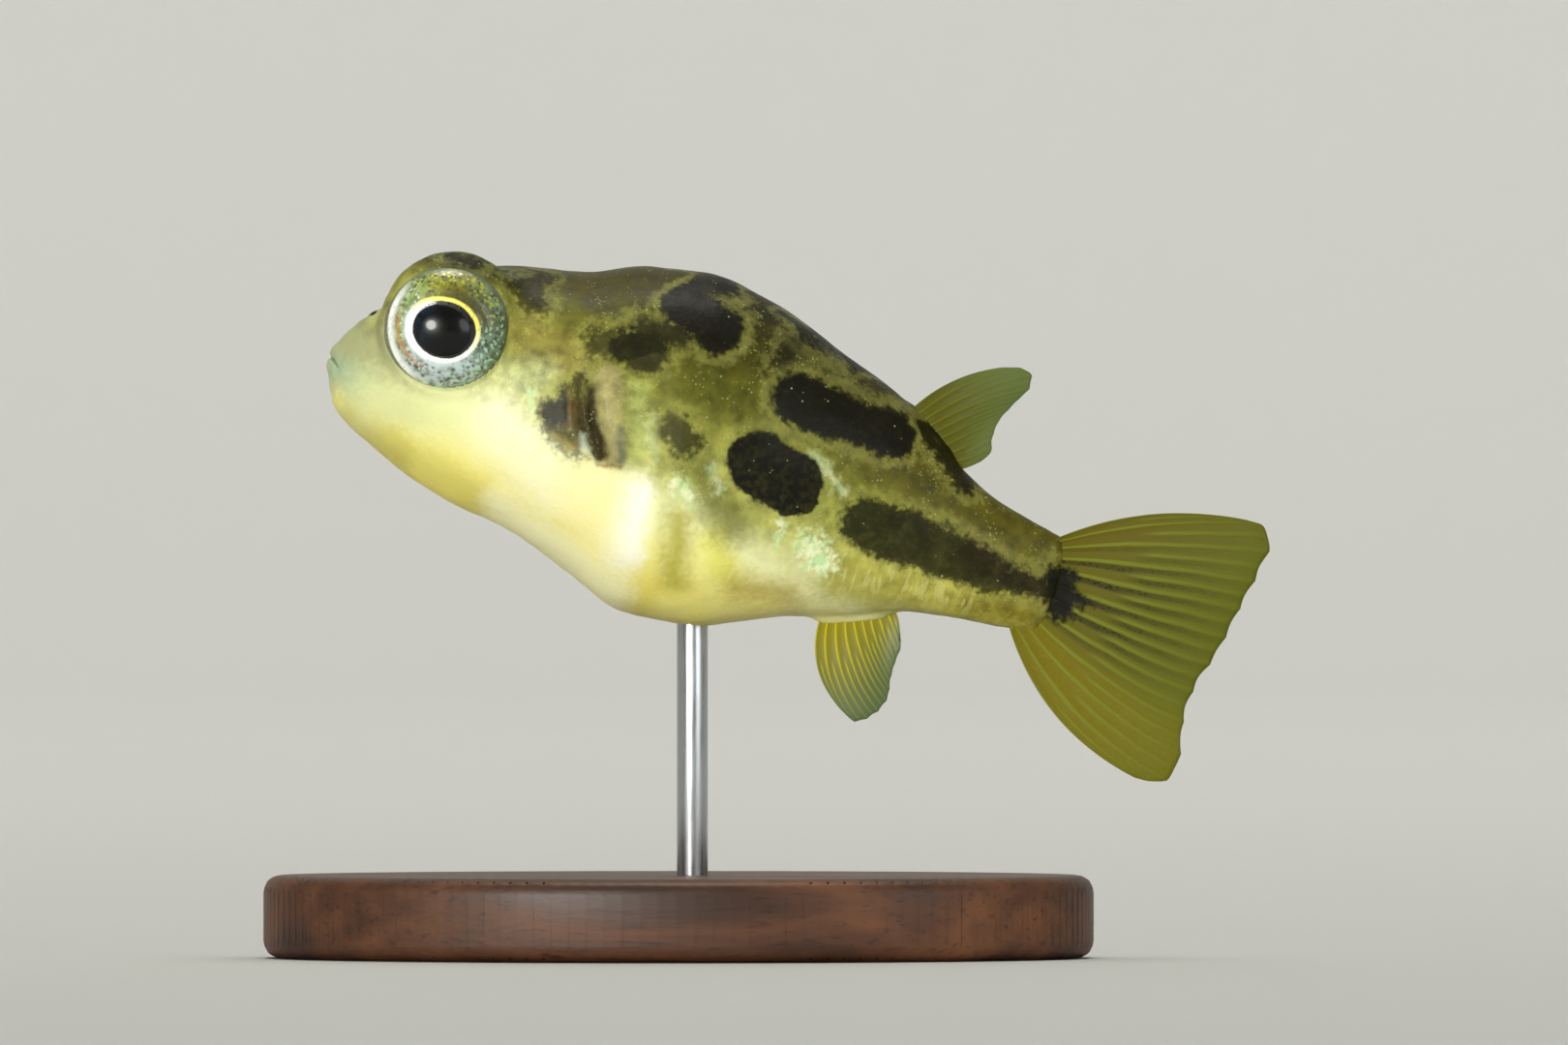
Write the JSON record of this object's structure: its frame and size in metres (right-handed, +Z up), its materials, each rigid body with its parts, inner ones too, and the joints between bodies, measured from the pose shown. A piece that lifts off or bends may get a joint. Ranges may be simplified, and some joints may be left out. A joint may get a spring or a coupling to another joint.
{
  "type": "pea pufferfish model on a display stand",
  "caption": "Life-size freshwater pea puffer, still and head up as it swims, with spotted olive skin, large eyes and open fins, held over an oval display stand by one short rod.",
  "frame": {"origin": "centre of the stand base's flat underside", "axes": "+Z up, the fish's head toward -X, its tail toward +X, its left side toward -Y"},
  "size_m": [0.0292, 0.015, 0.0205],
  "materials": {
    "skin": "smooth damp skin, olive above with dark brown blotches, pale yellow below",
    "lip": "smooth pale skin",
    "fin": "thin see-through membrane on fine rays",
    "iris": "silvery green, speckled, under a clear cornea",
    "pupil": "wet black",
    "stand_wood": "dark stained, satin",
    "stand_steel": "satin"
  },
  "bodies": {
    "root": {"upper_lip": "lip", "lower_lip": "lip", "head": "skin", "trunk": "skin", "tail_stalk": "skin", "dorsal_fin": "fin", "anal_fin": "fin", "tail_fin": "fin", "left_eye": "iris", "right_eye": "iris", "left_pupil": "pupil", "right_pupil": "pupil", "left_pectoral_fin": "fin", "right_pectoral_fin": "fin", "stand_base": "stand_wood", "stand_rod": "stand_steel"}
  },
  "joints": []
}
